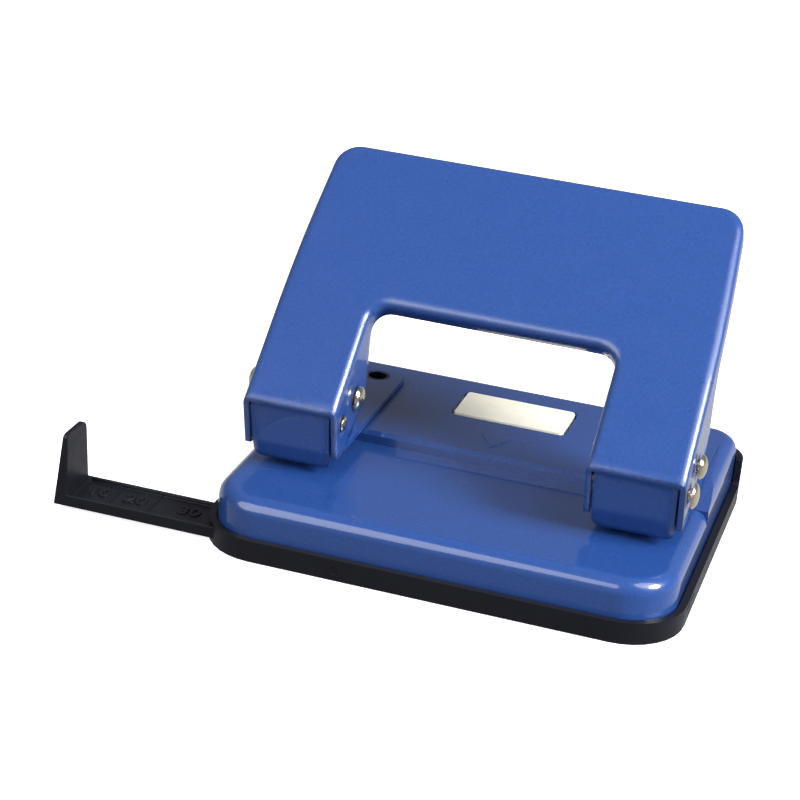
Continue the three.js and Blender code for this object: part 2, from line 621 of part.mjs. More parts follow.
// The formed ends of the pins: how far they stand from the arm's middle, their size and their dome
const HEAD = { reach: ARM_HALF + HEAD_STANDOFF, radius: HEAD_RADIUS, height: HEAD_DOME };
const TAIL = { reach: ARM_HALF + SEAT_GAP, radius: TAIL_RADIUS, height: TAIL_DOME };
const DRIVE_HEAD = {
  reach: ARM_HALF + DRIVE_HEAD_STANDOFF, radius: DRIVE_HEAD_RADIUS, height: DRIVE_HEAD_DOME,
};

// A pin along X with a formed end on its left and on its right
function buildPin(shank, left, right, [x, y, z]) {
  const points = [
    [0, -left.reach - left.height],
    ...dome(left.radius, -left.reach, left.height, -1).reverse().slice(1),
    [shank, -left.reach], [shank, right.reach],
    ...dome(right.radius, right.reach, right.height, 1).slice(0, -1),
    [0, right.reach + right.height],
  ];
  return turnedAlongX(points.map(([radius, place]) => [radius, x + place]), y, z);
}

const SLOT_FLOOR_Z = DRIVE_Z - DRIVE_PIN_RADIUS - SEAT_GAP;
const HEAD_FOOT_Z = SLOT_FLOOR_Z - PUNCH_HEAD_FLOOR;
const WASHER_Z = HEAD_FOOT_Z - SEAT_GAP - WASHER_THICKNESS;

// The punch has a slotted head for the drive pin and a hollowed cutting end
function buildPunch(side) {
  const tip = FOOT_Z + SHEET / 10;
  const top = DRIVE_Z + DRIVE_PIN_RADIUS + SEAT_GAP + PUNCH_HEAD_CAP;
  const body = solid(turned([
    [0, tip], [PUNCH_RADIUS, tip], [PUNCH_RADIUS, HEAD_FOOT_Z], [PUNCH_HEAD_RADIUS, HEAD_FOOT_Z],
    [PUNCH_HEAD_RADIUS, top - PUNCH_CHAMFER], [PUNCH_HEAD_RADIUS - PUNCH_CHAMFER, top], [0, top],
  ], side.x, PUNCH_Y, 32));
  const slotHalf = DRIVE_PIN_RADIUS + ARC_SAG / 2 + SEAT_GAP;
  const slot = block([side.x - ARM_HALF, PUNCH_Y - slotHalf, SLOT_FLOOR_Z],
    [side.x + ARM_HALF, PUNCH_Y + slotHalf, DRIVE_Z + DRIVE_PIN_RADIUS + SEAT_GAP]);
  const hollowZ = tip + PUNCH_HOLLOW_DEPTH - PUNCH_HOLLOW_RADIUS;
  const hollow = sideways(circle(PUNCH_HOLLOW_RADIUS, PUNCH_Y, hollowZ),
    side.x - ARM_HALF, side.x + ARM_HALF, 16);
  return cut(body, [slot, hollow]);
}

function buildWasher(side) {
  const bore = PUNCH_RADIUS + SEAT_GAP;
  return turned([
    [bore, WASHER_Z], [WASHER_RADIUS, WASHER_Z],
    [WASHER_RADIUS, WASHER_Z + WASHER_THICKNESS], [bore, WASHER_Z + WASHER_THICKNESS], [bore, WASHER_Z],
  ], side.x, PUNCH_Y, 24);
}

// A return spring between the foot plate and the washer, its ends straight for one wire
function springRings(x) {
  const low = FOOT_TOP_Z + SEAT_GAP;
  const high = WASHER_Z - SEAT_GAP;
  const steps = Math.round(SPRING_TURNS * SPRING_STEPS);
  const rise = (high - low - 2 * SPRING_WIRE) / steps;
  const rings = Array.from({ length: steps + 1 }, (_, step) => {
    const angle = (step / SPRING_STEPS) * 2 * Math.PI;
    const centre = new THREE.Vector3(x + SPRING_RADIUS * Math.cos(angle),
      PUNCH_Y + SPRING_RADIUS * Math.sin(angle), low + SPRING_WIRE + step * rise);
    const outward = new THREE.Vector3(Math.cos(angle), Math.sin(angle), 0);
    const around = new THREE.Vector3(-Math.sin(angle), Math.cos(angle), 0);
    const lean = step === 0 || step === steps ? QUARTER_TURN / 2 : 0;
    const up = new THREE.Vector3(0, 0, Math.cos(lean)).addScaledVector(around, -Math.sin(lean));
    return { centre, outward, up };
  });
  const end = (ring, z) => ({
    centre: ring.centre.clone().setZ(z), outward: ring.outward,
    up: new THREE.Vector3().crossVectors(ring.outward, new THREE.Vector3(0, 0, -1)),
  });
  return [end(rings[0], low), ...rings, end(rings.at(-1), high)];
}

function buildSpring(side) {
  const rings = springRings(side.x);
  const sides = Array.from({ length: SPRING_SIDES }, (_, index) => (index / SPRING_SIDES) * 2 * Math.PI);
  const points = rings.flatMap(({ centre, outward, up }) => sides.map((turn) => centre.clone()
    .addScaledVector(outward, Math.cos(turn) * SPRING_WIRE / 2)
    .addScaledVector(up, Math.sin(turn) * SPRING_WIRE / 2)));
  const faces = [];
  for (let ring = 0; ring < rings.length - 1; ring += 1) {
    for (let index = 0; index < SPRING_SIDES; index += 1) {
      const next = (index + 1) % SPRING_SIDES;
      const [a, b] = [ring * SPRING_SIDES + index, ring * SPRING_SIDES + next];
      faces.push(a, b + SPRING_SIDES, b, a, a + SPRING_SIDES, b + SPRING_SIDES);
    }
  }
  const last = (rings.length - 1) * SPRING_SIDES;
  for (let index = 1; index < SPRING_SIDES - 1; index += 1) {
    faces.push(0, index, index + 1, last, last + index + 1, last + index);
  }
  const geometry = new THREE.BufferGeometry().setFromPoints(points);
  geometry.setIndex(faces);
  geometry.computeVertexNormals();
  return geometry;
}

// The least gap between two turns, measured on the centre line
function springGap() {
  const centres = springRings(0).slice(1, -1).map((ring) => ring.centre);
  const gaps = centres.flatMap((point, index) => centres.slice(index + SPRING_STEPS / 2)
    .map((other) => point.distanceTo(other) - SPRING_WIRE));
  return Math.min(...gaps);
}

// A sliding bar with raised rims and an upright stop at its outer end
function buildGuide() {
  const barEnd = STOP_X + GUIDE_LENGTH;
  const bar = block([STOP_X - STOP_FOOT / 2, GUIDE_FRONT_Y, GUIDE_Z], [barEnd, GUIDE_REAR_Y, GUIDE_TOP_Z]);
  const trough = block([STOP_X + GUIDE_RIM, GUIDE_FRONT_Y + GUIDE_RIM, GUIDE_TOP_Z - GUIDE_RIM_HEIGHT],
    [barEnd - GUIDE_RIM, GUIDE_REAR_Y - GUIDE_RIM, GUIDE_TOP_Z + OVERRUN]);
  const crestZ = GUIDE_Z + STOP_HEIGHT;
  const wedge = extrude(roundedOutline([
    [STOP_X - STOP_FOOT, GUIDE_Z], [STOP_X, GUIDE_Z],
    [STOP_X, crestZ], [STOP_X - STOP_CREST, crestZ],
  ]), -GUIDE_REAR_Y, -GUIDE_FRONT_Y).rotateX(QUARTER_TURN);
  const face = sideways(roundedOutline([
    [GUIDE_FRONT_Y, GUIDE_Z], [GUIDE_REAR_Y, GUIDE_Z],
    [GUIDE_REAR_Y - STOP_REAR_TAPER, crestZ, STOP_CREST_ROUND],
    [GUIDE_FRONT_Y, crestZ, STOP_CREST],
  ]), STOP_X - STOP_RIB_DEPTH, STOP_X + OVERRUN);
  return bar.subtract(trough).add(solid(wedge).intersect(face));
}

addPiece('base_tray', geometryOf(buildTray()), BLACK_PLASTIC);
addPiece('base_plate', geometryOf(buildBasePlate()), BLUE_PAINT);
addPiece('badge_plate', geometryOf(buildBadge()), CREAM_PLASTIC);
addPiece('handle', geometryOf(buildHandle()), BLUE_PAINT);
addPiece('paper_guide', geometryOf(buildGuide()), BLACK_PLASTIC);
for (const side of SIDES) {
  addPiece(`${side.name}_bracket`, geometryOf(buildBracket(side)), BLUE_PAINT);
  const [pivotEnd, driveStart] = side.out > 0 ? [HEAD, TAIL] : [TAIL, DRIVE_HEAD];
  const drivePlace = [side.x - DRIVE_PIN_FLOAT, DRIVE_Y, DRIVE_Z];
  addPiece(`${side.name}_pivot_pin`,
    buildPin(PIVOT_PIN_RADIUS, TAIL, pivotEnd, [side.x, PIVOT_Y, PIVOT_Z]), BRIGHT_STEEL);
  addPiece(`${side.name}_drive_pin`,
    buildPin(DRIVE_PIN_RADIUS, driveStart, DRIVE_HEAD, drivePlace), BRIGHT_STEEL);
  addPiece(`${side.name}_punch`, geometryOf(buildPunch(side)), BRIGHT_STEEL);
  addPiece(`${side.name}_spring_washer`, buildWasher(side), SPRING_STEEL);
  addPiece(`${side.name}_return_spring`, buildSpring(side), SPRING_STEEL);
}
for (const place of rivetPlaces()) {
  addPiece(place.name, buildRivet(place.x), BLUE_PAINT);
}

console.log(`least gap between spring turns ${springGap().toFixed(2)} mm`);

export default part;
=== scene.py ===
import math

import bpy
from bpy.props import FloatProperty, FloatVectorProperty, PointerProperty
from mathutils import Matrix, Vector


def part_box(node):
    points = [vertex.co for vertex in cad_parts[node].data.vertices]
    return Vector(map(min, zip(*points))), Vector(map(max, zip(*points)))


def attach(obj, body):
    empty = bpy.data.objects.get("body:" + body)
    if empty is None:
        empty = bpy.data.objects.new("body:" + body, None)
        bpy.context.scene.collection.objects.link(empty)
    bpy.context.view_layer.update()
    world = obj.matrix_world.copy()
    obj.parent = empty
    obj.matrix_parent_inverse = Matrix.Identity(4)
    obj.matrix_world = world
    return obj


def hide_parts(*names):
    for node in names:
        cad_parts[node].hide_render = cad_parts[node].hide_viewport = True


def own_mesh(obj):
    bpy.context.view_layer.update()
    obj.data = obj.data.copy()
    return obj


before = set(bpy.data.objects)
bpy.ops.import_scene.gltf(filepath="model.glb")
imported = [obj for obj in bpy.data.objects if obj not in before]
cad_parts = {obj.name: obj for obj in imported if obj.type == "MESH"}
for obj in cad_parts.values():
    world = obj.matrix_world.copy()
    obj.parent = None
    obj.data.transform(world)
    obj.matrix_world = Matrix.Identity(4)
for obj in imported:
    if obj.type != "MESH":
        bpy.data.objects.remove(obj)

bl_info = {
    "name": "Two-Hole Punch",
    "version": (1, 0, 0),
    "blender": (4, 5, 0),
    "location": "View3D > Sidebar > Punch",
    "description": "Finishes, pressed and moulded details and a studio for a desk two-hole punch",
    "category": "Object",
}

SIDES = ("left", "right")
MM = 0.001
FULL_TURN = 2 * math.pi
WHITE = (1.0, 1.0, 1.0, 1.0)

# How the solids' meshes are merged and rounded
MERGE_DISTANCE = 0.002 * MM
FLAT_ANGLE = math.radians(0.6)
EDGE_SEGMENTS = 2

# How finely the springs are wound
COIL_SIDES = 12
COIL_STEPS = 40
COIL_SEAM = 0.01 * MM
COIL_SMOOTH_ANGLE = math.radians(40.0)
DEAD_RISE_SHARE = 1.04

# Proportions of the marks
MARK_CORNERS = 3
MARK_TOP_SHARE = 0.86
GATE_SIDES = 24
GATE_RIM_SHARE = 0.14
GATE_SINK_SHARE = 0.4
RIB_EDGE_SHARE = 0.3
DIGIT_LIFT_SHARE = 0.9
DIGIT_EDGE_SHARE = 0.25

# Places of the numbers and cross lines along the paper guide, and the guide's channel
GUIDE_NUMBERS = (("10", -82.6 * MM), ("20", -73.4 * MM), ("30", -60.0 * MM))
GUIDE_LINES = (-87.5 * MM, -78.6 * MM, -68.9 * MM)
GUIDE_WALLS = 2.4 * MM
GUIDE_FLOOR = 2 * MM

# Each light's place, what it aims at, its size and the setting that holds its power
LIGHTS = {
    "key_light": ((0.7, -0.25, 1.0), (0, 0, 0.02), 0.8, "key_power"),
    "fill_light": ((-0.6, -0.9, 0.7), (0, 0, 0.02), 1.2, "fill_power"),
    "glint_light": ((0.84, -0.15, 0.60), (0, 0, 0.04), 0.40, "glint_power"),
}

# Directions between which the even light changes: front to back, table to walls, walls to above
FRONT_TO_BACK = (-0.6, 0.7)
TABLE_TO_WALLS = (-0.05, 0.15)
WALLS_TO_ABOVE = (0.45, 0.8)

FLOOR_SHADES = ((0.93, 0.93, 0.93), (0.96, 0.96, 0.96))
SENSOR_WIDTH = 36.0
NEAREST_VIEW = 0.01


# Settings


class PunchFinishes(bpy.types.PropertyGroup):
    """Colours and gloss of the punch's materials"""

    enamel: FloatVectorProperty(
        name="Enamel", description="Colour of the enamelled sheet steel",
        default=(0.0150, 0.0530, 0.212), subtype="COLOR", min=0.0, max=1.0)
    bend_softness: FloatProperty(
        name="Bend softness", description="Reach of the enamel's build-up over the handle's bends",
        default=2.5 * MM, unit="LENGTH", min=0.0)
    enamel_roughness: FloatProperty(
        name="Enamel roughness", description="Roughness of the enamel under its gloss",
        default=0.3, subtype="FACTOR", min=0.0, max=1.0)
    tray_plastic: FloatVectorProperty(
        name="Tray plastic", description="Colour of the tray and the paper guide",
        default=(0.0062, 0.0066, 0.0108), subtype="COLOR", min=0.0, max=1.0)
    badge_plastic: FloatVectorProperty(
        name="Badge plastic", description="Colour of the bare badge plate",
        default=(0.93, 0.89, 0.75), subtype="COLOR", min=0.0, max=1.0)
    plating: FloatVectorProperty(
        name="Plating", description="Colour of the plated pins and punches",
        default=(0.83, 0.74, 0.56), subtype="COLOR", min=0.0, max=1.0)
    spring_wire: FloatVectorProperty(
        name="Spring wire", description="Colour of the drawn spring wire",
        default=(0.48, 0.47, 0.45), subtype="COLOR", min=0.0, max=1.0)


class PunchEdges(bpy.types.PropertyGroup):
    """Edge rounding of the pieces"""

    sheet: FloatProperty(
        name="Sheet edge", description="Rounding of the cut and pressed sheet edges",
        default=0.22 * MM, unit="LENGTH", min=0.0)
    plastic: FloatProperty(
        name="Plastic edge", description="Rounding of the moulded plastic edges",
        default=0.25 * MM, unit="LENGTH", min=0.0)
    turned: FloatProperty(
        name="Turned edge", description="Rounding of the turned metal edges",
        default=0.12 * MM, unit="LENGTH", min=0.0)
    smooth_angle: FloatProperty(
        name="Smoothing angle", description="Facets that meet below this angle are shaded as one surface",
        default=math.radians(32.0), subtype="ANGLE", min=0.0)


class PunchSprings(bpy.types.PropertyGroup):
    """Winding of the return springs"""

    wire: FloatProperty(
        name="Wire", description="Diameter of the spring wire",
        default=0.6 * MM, unit="LENGTH", min=0.0)
    dead_turns: FloatProperty(
        name="Dead turns", description="Closed turns at each end of a spring",
        default=0.75, min=0.0)
    active_turns: FloatProperty(
        name="Active turns", description="Open turns between the ends of a spring",
        default=3.0, min=0.0)
    squash: FloatProperty(
        name="Squash", description="Share of its length that a spring keeps at full stroke",
        default=0.33, subtype="FACTOR", min=0.0, max=1.0)


class PunchMarks(bpy.types.PropertyGroup):
    """Pressed and moulded marks"""

    mark_size: FloatProperty(
        name="Centre mark", description="Radius of the triangle pressed up in the rear deck",
        default=5.8 * MM, unit="LENGTH", min=0.0)
    mark_place: FloatProperty(
        name="Centre mark place", description="Distance of the triangle's middle behind the origin",
        default=8.4 * MM, unit="LENGTH")
    height: FloatProperty(
        name="Relief", description="Height of the marks over their surface",
        default=0.3 * MM, unit="LENGTH", min=0.0)
    rib_width: FloatProperty(
        name="Rib width", description="Width of the cross lines on the paper guide",
        default=0.45 * MM, unit="LENGTH", min=0.0)
    gate_size: FloatProperty(
        name="Gate mark", description="Diameter of the ring on the tray's front",
        default=1.9 * MM, unit="LENGTH", min=0.0)
    gate_place: FloatVectorProperty(
        name="Gate mark place", description="Sideways place and height of the ring on the tray's front",
        default=(-21.3 * MM, 2.6 * MM), size=2, unit="LENGTH")
    digit_size: FloatProperty(
        name="Digit size", description="Height of the numbers on the paper guide",
        default=5.5 * MM, unit="LENGTH", min=0.0)


class PunchStage(bpy.types.PropertyGroup):
    """Camera, floor and lights"""

    place: FloatVectorProperty(
        name="Camera place", description="Place of the camera",
        default=(0.1073, -0.4537, 0.2315), subtype="TRANSLATION", unit="LENGTH")
    azimuth: FloatProperty(
        name="Azimuth", description="Turn of the camera round the punch",
        default=math.radians(15.5), subtype="ANGLE")
    elevation: FloatProperty(
        name="Elevation", description="Height of the camera above the horizon",
        default=math.radians(23.56), subtype="ANGLE")
    roll: FloatProperty(
        name="Roll", description="Roll of the camera about its axis",
        default=math.radians(4.98), subtype="ANGLE")
    focal_length: FloatProperty(
        name="Focal length", description="Focal length in millimetres on a 36 mm sensor",
        default=98.565, unit="CAMERA", min=1.0)
    shift: FloatVectorProperty(
        name="Shift", description="Sideways and upward shift of the frame",
        default=(-0.01766, 0.00316), size=2)
    floor_size: FloatProperty(
        name="Floor size", description="Side of the square floor",
        default=6.0, unit="LENGTH", min=0.1)
    key_power: FloatProperty(
        name="Key light", description="Power of the large soft light over the right side",
        default=7.0, unit="POWER", min=0.0)
    fill_power: FloatProperty(
        name="Fill light", description="Power of the wide light at the front left",
        default=13.0, unit="POWER", min=0.0)
    glint_power: FloatProperty(
        name="Glint light", description="Power of the small light that draws the bright edges",
        default=20.0, unit="POWER", min=0.0)
    behind: FloatProperty(
        name="Behind", description="Strength of the even light off the table behind the punch",
        default=0.6, min=0.0)
    in_front: FloatProperty(
        name="In front", description="Strength of the even light off the table in front of the punch",
        default=0.3, min=0.0)
    around: FloatProperty(
        name="Around", description="Strength of the even light off the walls",
        default=0.2, min=0.0)
    overhead: FloatProperty(
        name="Overhead", description="Strength of the even light from above",
        default=0.28, min=0.0)
    table_glow: FloatProperty(
        name="Table glow", description="Light of the white table itself",
        default=0.8, min=0.0)


# Materials


class Finish:
    """A node material whose patterns read the piece's own object coordinates"""

    def __init__(self, name):
        self.material = bpy.data.materials.new(name)
        self.material.use_nodes = True
        self.nodes = self.material.node_tree.nodes
        self.links = self.material.node_tree.links
        self.shader = self.nodes["Principled BSDF"]
        self.coordinates = self.nodes.new("ShaderNodeTexCoord").outputs["Object"]
        self.normal = None

    def noise(self, scale, detail=3.0, roughness=0.5, stretch=(1.0, 1.0, 1.0)):
        mapping = self.nodes.new("ShaderNodeMapping")
        mapping.inputs["Scale"].default_value = stretch
        noise = self.nodes.new("ShaderNodeTexNoise")
        noise.inputs["Scale"].default_value = scale
        noise.inputs["Detail"].default_value = detail
        noise.inputs["Roughness"].default_value = roughness
        self.links.new(self.coordinates, mapping.inputs["Vector"])
        self.links.new(mapping.outputs["Vector"], noise.inputs["Vector"])
        return noise.outputs["Fac"]

    def spread(self, value, low, high, start=0.3, end=0.7):
        spread = self.nodes.new("ShaderNodeMapRange")
        spread.inputs["From Min"].default_value = start
        spread.inputs["From Max"].default_value = end
        spread.inputs["To Min"].default_value = low
        spread.inputs["To Max"].default_value = high
        self.links.new(value, spread.inputs["Value"])
        return spread.outputs["Result"]

    def colour(self, value, first, second):
        mix = self.nodes.new("ShaderNodeMix")
        mix.data_type = "RGBA"
        mix.inputs[6].default_value = (*first, 1.0)
        mix.inputs[7].default_value = (*second, 1.0)
        self.links.new(value, mix.inputs[0])
        self.links.new(mix.outputs[2], self.shader.inputs["Base Color"])

    def soften(self, reach):
        soft = self.nodes.new("ShaderNodeBevel")
        soft.samples = 8
        soft.inputs["Radius"].default_value = reach
        self.normal = soft.outputs["Normal"]
        self.links.new(self.normal, self.shader.inputs["Coat Normal"])

    def shades(self, value, colour, darkest, lightest):
        self.colour(self.spread(value, 0.0, 1.0), scaled(colour, darkest), scaled(colour, lightest))

    def roughness(self, value, low, high):
        self.links.new(self.spread(value, low, high), self.shader.inputs["Roughness"])

    def bump(self, value, height, strength=1.0):
        bump = self.nodes.new("ShaderNodeBump")
        bump.inputs["Distance"].default_value = height
        bump.inputs["Strength"].default_value = strength
        self.links.new(value, bump.inputs["Height"])
        if self.normal:
            self.links.new(self.normal, bump.inputs["Normal"])
        self.normal = bump.outputs["Normal"]
        self.links.new(self.normal, self.shader.inputs["Normal"])


def scaled(colour, factor):
    return tuple(min(1.0, part * factor) for part in colour)


def enamel_finish(name, colour, finishes, softness=0.0):
    finish = Finish(name)
    if softness:
        finish.soften(softness)
    flake = finish.noise(scale=1700.0, detail=3.0, roughness=0.7)
    finish.shades(flake, colour, darkest=0.84, lightest=1.16)
    rough = finishes.enamel_roughness
    finish.roughness(finish.noise(scale=160.0, detail=4.0), rough - 0.04, rough + 0.05)
    finish.bump(finish.noise(scale=420.0, detail=2.0), height=0.012 * MM)
    finish.shader.inputs["Specular IOR Level"].default_value = 0.3
    finish.shader.inputs["Coat Weight"].default_value = 1.0
    finish.shader.inputs["Coat Roughness"].default_value = 0.04
    return finish.material


def plastic_finish(name, colour, rough, grain, gloss):
    finish = Finish(name)
    finish.shades(finish.noise(scale=90.0, detail=3.0), colour, darkest=0.92, lightest=1.08)
    finish.roughness(finish.noise(scale=300.0, detail=3.0), rough - 0.05, rough + 0.06)
    finish.bump(finish.noise(scale=3200.0, detail=2.0), height=grain)
    finish.shader.inputs["Specular IOR Level"].default_value = gloss
    return finish.material


def plating_finish(finishes):
    finish = Finish("bright_plating")
    finish.shades(finish.noise(scale=400.0, detail=3.0), finishes.plating, darkest=0.92, lightest=1.06)
    finish.roughness(finish.noise(scale=900.0, detail=4.0), 0.13, 0.24)
    finish.bump(finish.noise(scale=700.0, detail=2.0), height=0.006 * MM)
    finish.shader.inputs["Metallic"].default_value = 1.0
    return finish.material


def wire_finish(finishes):
    finish = Finish("spring_wire")
    finish.shades(finish.noise(scale=1500.0, detail=2.0), finishes.spring_wire, darkest=0.85, lightest=1.1)
    finish.roughness(finish.noise(scale=2200.0, detail=3.0), 0.26, 0.4)
    finish.bump(finish.noise(scale=2400.0, detail=2.0, stretch=(1.0, 1.0, 4.0)), height=0.006 * MM)
    finish.shader.inputs["Metallic"].default_value = 1.0
    return finish.material


def material(name):
    """The named finish, made on its first use"""
    found = bpy.data.materials.get(name)
    if found and found.get("punch_finish"):
        return found
    finishes = bpy.context.scene.punch_finishes
    made = {
        "enamel": lambda: enamel_finish("enamel", finishes.enamel, finishes),
        "handle_enamel": lambda: enamel_finish(
            "handle_enamel", finishes.enamel, finishes, finishes.bend_softness),
        # Painted shade: the enamel is darkened to 6 % so that the rivets stand in for the shade inside
        # their dark bores
        "bore_enamel": lambda: enamel_finish("bore_enamel", scaled(finishes.enamel, 0.06), finishes),
        "tray_plastic": lambda: plastic_finish(
            "tray_plastic", finishes.tray_plastic, rough=0.4, grain=0.01 * MM, gloss=0.25),
        "badge_plastic": lambda: plastic_finish(
            "badge_plastic", finishes.badge_plastic, rough=0.33, grain=0.003 * MM, gloss=0.5),
        "bright_plating": lambda: plating_finish(finishes),
        "spring_wire": lambda: wire_finish(finishes),
    }[name]()
    made["punch_finish"] = True
    return made


# Pieces


def deselect():
    bpy.ops.object.select_all(action="DESELECT")


def choose(piece):
    deselect()
    piece.select_set(True)
    bpy.context.view_layer.objects.active = piece


def finished(piece, name, finish, slot, body, *nodes):
    """Names a piece, gives it its finish and places it on its body"""
    piece.name = piece.data.name = name
    piece.data.materials.clear()
    piece.data.materials.append(material(finish))
    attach(piece, body)
    if nodes:
        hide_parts(*nodes)
    return piece


def shade(piece, angle):
    """Smooth shading whose normals follow the large faces"""
    bpy.ops.object.shade_smooth_by_angle(angle=angle)
    normals = piece.modifiers.new("normals", "WEIGHTED_NORMAL")
    normals.keep_sharp = True
    bpy.ops.object.modifier_apply(modifier=normals.name)


def dressed(node, finish, slot, body, edge):
    """A node's own form with merged faces, rounded edges and smooth shading"""
    edges = bpy.context.scene.punch_edges
    piece = bpy.data.objects.new(node + "_finished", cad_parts[node].data.copy())
    bpy.context.scene.collection.objects.link(piece)
    choose(piece)
    bpy.ops.object.mode_set(mode="EDIT")
    bpy.ops.mesh.select_all(action="SELECT")
    bpy.ops.mesh.remove_doubles(threshold=MERGE_DISTANCE)
    bpy.ops.mesh.dissolve_limited(angle_limit=FLAT_ANGLE)
    bpy.ops.object.mode_set(mode="OBJECT")
    rounding = piece.modifiers.new("edge", "BEVEL")
    rounding.width = edge
    rounding.segments = EDGE_SEGMENTS
    rounding.limit_method = "ANGLE"
    rounding.angle_limit = edges.smooth_angle
    rounding.harden_normals = False
    bpy.ops.object.modifier_apply(modifier=rounding.name)
    shade(piece, edges.smooth_angle)
    return finished(piece, node + "_finished", finish, slot, body, node)


class PUNCH_OT_sheet_steel(bpy.types.Operator):
    """Rounds and enamels the base plate, the handle, the brackets and their rivets"""

    bl_idname = "punch.sheet_steel"
    bl_label = "Enamelled Sheet Steel"

    def execute(self, context):
        edge = context.scene.punch_edges.sheet
        dressed("base_plate", "enamel", "blue_paint", "base", edge)
        dressed("handle", "handle_enamel", "blue_paint", "lever", edge)
        for side in SIDES:
            dressed(f"{side}_bracket", "enamel", "blue_paint", "base", edge)
            for place in ("inner", "outer"):
                # The rivets take the near-black enamel, which is painted shade for the dark holes through
                # them
                dressed(f"{side}_bracket_rivet_{place}", "bore_enamel", "blue_paint", "base", edge / 2)
        return {"FINISHED"}


class PUNCH_OT_mouldings(bpy.types.Operator):
    """Rounds and grains the tray, the paper guide and the badge plate"""

    bl_idname = "punch.mouldings"
    bl_label = "Moulded Plastic"

    def execute(self, context):
        edge = context.scene.punch_edges.plastic
        dressed("base_tray", "tray_plastic", "black_plastic", "base", edge)
        dressed("paper_guide", "tray_plastic", "black_plastic", "guide", edge)
        dressed("badge_plate", "badge_plastic", "cream_plastic", "base", edge)
        return {"FINISHED"}


class PUNCH_OT_turned_parts(bpy.types.Operator):
    """Finishes the pins, punches and spring washers"""

    bl_idname = "punch.turned_parts"
    bl_label = "Turned Parts"

    def execute(self, context):
        edge = context.scene.punch_edges.turned
        for side in SIDES:
            dressed(f"{side}_pivot_pin", "bright_plating", "bright_steel", "base", edge)
            dressed(f"{side}_drive_pin", "bright_plating", "bright_steel", "lever", edge)
            dressed(f"{side}_punch", "bright_plating", "bright_steel", f"{side}_punch_group", edge)
            dressed(f"{side}_spring_washer", "spring_wire", "spring_steel", f"{side}_punch_group", edge)
        return {"FINISHED"}


def coil(centre, radius, wire, start, turns, low, high):
    """A length of coiled wire, from the start angle and low to high"""
    bpy.ops.mesh.primitive_circle_add(vertices=COIL_SIDES, radius=wire / 2, location=(radius, 0, 0),
                                      rotation=(math.pi / 2, 0, 0))
    piece = bpy.context.object
    bpy.ops.object.transform_apply(location=True, rotation=True, scale=True)
    winding = piece.modifiers.new("winding", "SCREW")
    winding.angle = turns * FULL_TURN
    winding.screw_offset = high - low
    winding.steps = winding.render_steps = round(turns * COIL_STEPS)
    winding.use_merge_vertices = False
    bpy.ops.object.modifier_apply(modifier=winding.name)
    piece.rotation_euler = (0, 0, start)
    piece.location = (centre[0], centre[1], low)
    bpy.ops.object.transform_apply(location=True, rotation=True, scale=True)
    return piece


class PUNCH_OT_springs(bpy.types.Operator):
    """Winds the two return springs with closed end coils"""

    bl_idname = "punch.springs"
    bl_label = "Return Springs"

    def execute(self, context):
        springs = context.scene.punch_springs
        for side in SIDES:
            node = f"{side}_return_spring"
            low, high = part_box(node)
            x, y = (low.x + high.x) / 2, (low.y + high.y) / 2
            wire, radius = springs.wire, (high.x - low.x - springs.wire) / 2
            bottom, top = low.z + wire / 2, high.z - wire / 2
            dead_turns, active_turns = springs.dead_turns, springs.active_turns
            live_low = bottom + dead_turns * wire * DEAD_RISE_SHARE
            live_high = top - dead_turns * wire * DEAD_RISE_SHARE
            live_start = dead_turns * FULL_TURN
            live_end = live_start + active_turns * FULL_TURN
            deselect()
            parts = [
                coil((x, y), radius, wire, 0.0, dead_turns, bottom, live_low),
                coil((x, y), radius, wire, live_start, active_turns, live_low, live_high),
                coil((x, y), radius, wire, live_end, dead_turns, live_high, top),
            ]
            choose(parts[0])
            for part in parts[1:]:
                part.select_set(True)
            bpy.ops.object.join()
            bpy.ops.object.mode_set(mode="EDIT")
            bpy.ops.mesh.select_all(action="SELECT")
            bpy.ops.mesh.remove_doubles(threshold=COIL_SEAM)
            bpy.ops.mesh.fill_holes(sides=0)
            bpy.ops.mesh.select_all(action="SELECT")
            bpy.ops.mesh.normals_make_consistent(inside=False)
            bpy.ops.object.mode_set(mode="OBJECT")
            bpy.ops.object.shade_smooth_by_angle(angle=COIL_SMOOTH_ANGLE)
            piece = finished(parts[0], node + "_wound", "spring_wire", "spring_steel", "base", node)
            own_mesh(piece)
        return {"FINISHED"}


def rounded_off(piece, width):
    rounding = piece.modifiers.new("edge", "BEVEL")
    rounding.width = width
    rounding.segments = EDGE_SEGMENTS
    bpy.ops.object.modifier_apply(modifier=rounding.name)
    shade(piece, bpy.context.scene.punch_edges.smooth_angle)


